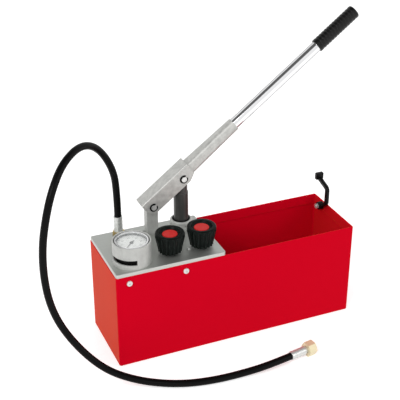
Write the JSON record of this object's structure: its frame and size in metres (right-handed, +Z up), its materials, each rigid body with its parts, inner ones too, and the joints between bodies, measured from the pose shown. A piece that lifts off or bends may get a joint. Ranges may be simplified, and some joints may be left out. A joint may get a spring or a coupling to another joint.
{
  "type": "hydrostatic test pump",
  "caption": "Hand-operated hydrostatic test pump: lever and plunger on an open sheet-metal water tank, with gauge, valves, latch hook and pressure hose.",
  "frame": {"origin": "centre of the tank's underside, on the surface that the pump stands on", "axes": "+Z up; +X along the tank towards its open end and the latch hook; +Y to the back, where the lever and plunger stand"},
  "size_m": [0.7144, 0.3007, 0.6329],
  "materials": {
    "tank_red": "gloss red paint",
    "plate_metal": "machined, fine brushed",
    "block_metal": "machined",
    "zinc_plate": "zinc plated",
    "cast_grey": "zinc plated casting, matte",
    "lever_grey": "cast, light grey, satin",
    "plunger_steel": "dark hard chromed and ground",
    "pin_steel": "ground steel",
    "spring_steel": "spring wire",
    "black_steel": "blackened steel",
    "chrome_tube": "bright chrome",
    "grip_rubber": "moulded black rubber",
    "hose_rubber": "smooth black rubber hose",
    "seal_rubber": "nitrile rubber",
    "brass_nut": "turned pale brass",
    "brass": "turned brass",
    "copper": "drawn copper",
    "strainer_mesh": "slotted grey plastic",
    "knob_plastic": "moulded black plastic",
    "cap_plastic": "moulded red plastic",
    "gauge_black": "black enamel",
    "gauge_steel": "polished stainless steel",
    "dial_white": "white enamel with plain black numbers",
    "pointer_black": "black enamel",
    "lens_glass": "clear flat glass",
    "gasket_fibre": "red fibre"
  },
  "bodies": {
    "root": {"tank": "tank_red", "cover_plate": "plate_metal", "valve_block": "block_metal", "side_screws": "zinc_plate", "block_screws": "zinc_plate", "hook_bolt": "zinc_plate", "hook_nut": "zinc_plate", "near_ferrule": "zinc_plate", "far_ferrule": "zinc_plate", "swivel_tail": "zinc_plate", "gauge_guard": "cast_grey", "gland_nut": "cast_grey", "link_foot_pin": "pin_steel", "gallery_plugs": "pin_steel", "delivery_plug": "pin_steel", "suction_spring": "spring_steel", "delivery_spring": "spring_steel", "valve_glands": "black_steel", "hose": "hose_rubber", "rod_seal": "seal_rubber", "wiper_ring": "seal_rubber", "valve_o_rings": "seal_rubber", "hose_nipple": "brass", "gauge_stem": "brass", "suction_valve": "brass", "suction_stop": "brass", "bourdon_tube": "brass", "movement_frame": "brass", "pump_barrel": "brass", "guide_bush": "brass", "return_pipe": "copper", "suction_strainer": "strainer_mesh", "gauge_case": "gauge_black", "gauge_bezel": "gauge_steel", "gauge_dial": "dial_white", "gauge_lens": "lens_glass", "nut_gasket": "gasket_fibre"},
    "link": {"fulcrum_link": "cast_grey"},
    "lever": {"lever_bracket": "lever_grey", "lever_pins": "pin_steel", "retaining_rings": "black_steel", "lever_socket": "lever_grey", "lever_tube": "chrome_tube", "lever_grip": "grip_rubber"},
    "plunger": {"plunger": "plunger_steel"},
    "suction_check": {"suction_ball": "pin_steel"},
    "delivery_check": {"delivery_ball": "pin_steel"},
    "gauge_sector": {"sector_gear": "brass"},
    "gauge_needle": {"pointer_arbor": "brass", "gauge_pointer": "pointer_black"},
    "release_lift": {"release_ball": "pin_steel"},
    "release_wheel": {"release_spindle": "pin_steel", "release_handwheel": "knob_plastic", "release_cap": "cap_plastic"},
    "shutoff_lift": {"shutoff_ball": "pin_steel"},
    "shutoff_wheel": {"shutoff_spindle": "pin_steel", "shutoff_handwheel": "knob_plastic", "shutoff_cap": "cap_plastic"},
    "hook": {"hook": "black_steel"},
    "union_nut": {"union_nut": "brass_nut"}
  },
  "joints": [
    {"name": "lever_swing", "type": "hinge", "parent": "link", "child": "lever", "pos_m": [-0.13837, 0.05, 0.2777], "axis": [0, 1, 0], "range_deg": [-9, 47.5]},
    {"name": "link_tilt", "type": "hinge", "parent": "root", "child": "link", "pos_m": [-0.13837, 0.05, 0.193], "axis": [0, 1, 0], "range_deg": [-11.4, 2.3]},
    {"name": "plunger_slide", "type": "slide", "parent": "root", "child": "plunger", "axis": [0, 0, 1], "range_m": [-0.0494, 0.0095]},
    {"name": "suction_check_lift", "type": "slide", "parent": "root", "child": "suction_check", "axis": [0, 0, 1], "range_m": [0, 0.0015], "stiffness_N_per_m": 40, "springref_m": -0.002},
    {"name": "delivery_check_drop", "type": "slide", "parent": "root", "child": "delivery_check", "axis": [0, 0, -1], "range_m": [0, 0.0015], "stiffness_N_per_m": 40, "springref_m": -0.002},
    {"name": "sector_swing", "type": "hinge", "parent": "root", "child": "gauge_sector", "pos_m": [-0.212, -0.022, 0.233], "axis": [0, 0, 1], "range_deg": [0, 38.57], "stiffness_Nm_per_rad": 0.005},
    {"name": "needle_spin", "type": "hinge", "parent": "root", "child": "gauge_needle", "pos_m": [-0.212, -0.04, 0.233], "axis": [0, 0, 1], "range_deg": [-270.1, 0]},
    {"name": "release_lift", "type": "slide", "parent": "root", "child": "release_lift", "axis": [0, 0, 1], "range_m": [0, 0.0045]},
    {"name": "release_turn", "type": "hinge", "parent": "release_lift", "child": "release_wheel", "pos_m": [-0.134, -0.043, 0.225], "axis": [0, 0, 1], "range_deg": [0, 1080.5]},
    {"name": "shutoff_lift", "type": "slide", "parent": "root", "child": "shutoff_lift", "axis": [0, 0, 1], "range_m": [0, 0.0045]},
    {"name": "shutoff_turn", "type": "hinge", "parent": "shutoff_lift", "child": "shutoff_wheel", "pos_m": [-0.067, -0.043, 0.225], "axis": [0, 0, 1], "range_deg": [0, 1080.5]},
    {"name": "hook_swing", "type": "hinge", "parent": "root", "child": "hook", "pos_m": [0.25145, 0.044, 0.195], "axis": [1, 0, 0], "range_deg": [0, 85]},
    {"name": "nut_spin", "type": "hinge", "parent": "root", "child": "union_nut", "pos_m": [0.10727, -0.19166, 0.0136], "axis": [0.9848, 0.1738, 0], "continuous": true}
  ],
  "couplings": [
    {"joint": "link_tilt", "follows": "lever_swing", "ratio": -0.2381},
    {"joint": "plunger_slide", "follows": "lever_swing", "m_per_rad": -0.0594},
    {"joint": "needle_spin", "follows": "sector_swing", "ratio": -7},
    {"joint": "release_turn", "follows": "release_lift", "rad_per_m": 4188.8},
    {"joint": "shutoff_turn", "follows": "shutoff_lift", "rad_per_m": 4188.8}
  ]
}
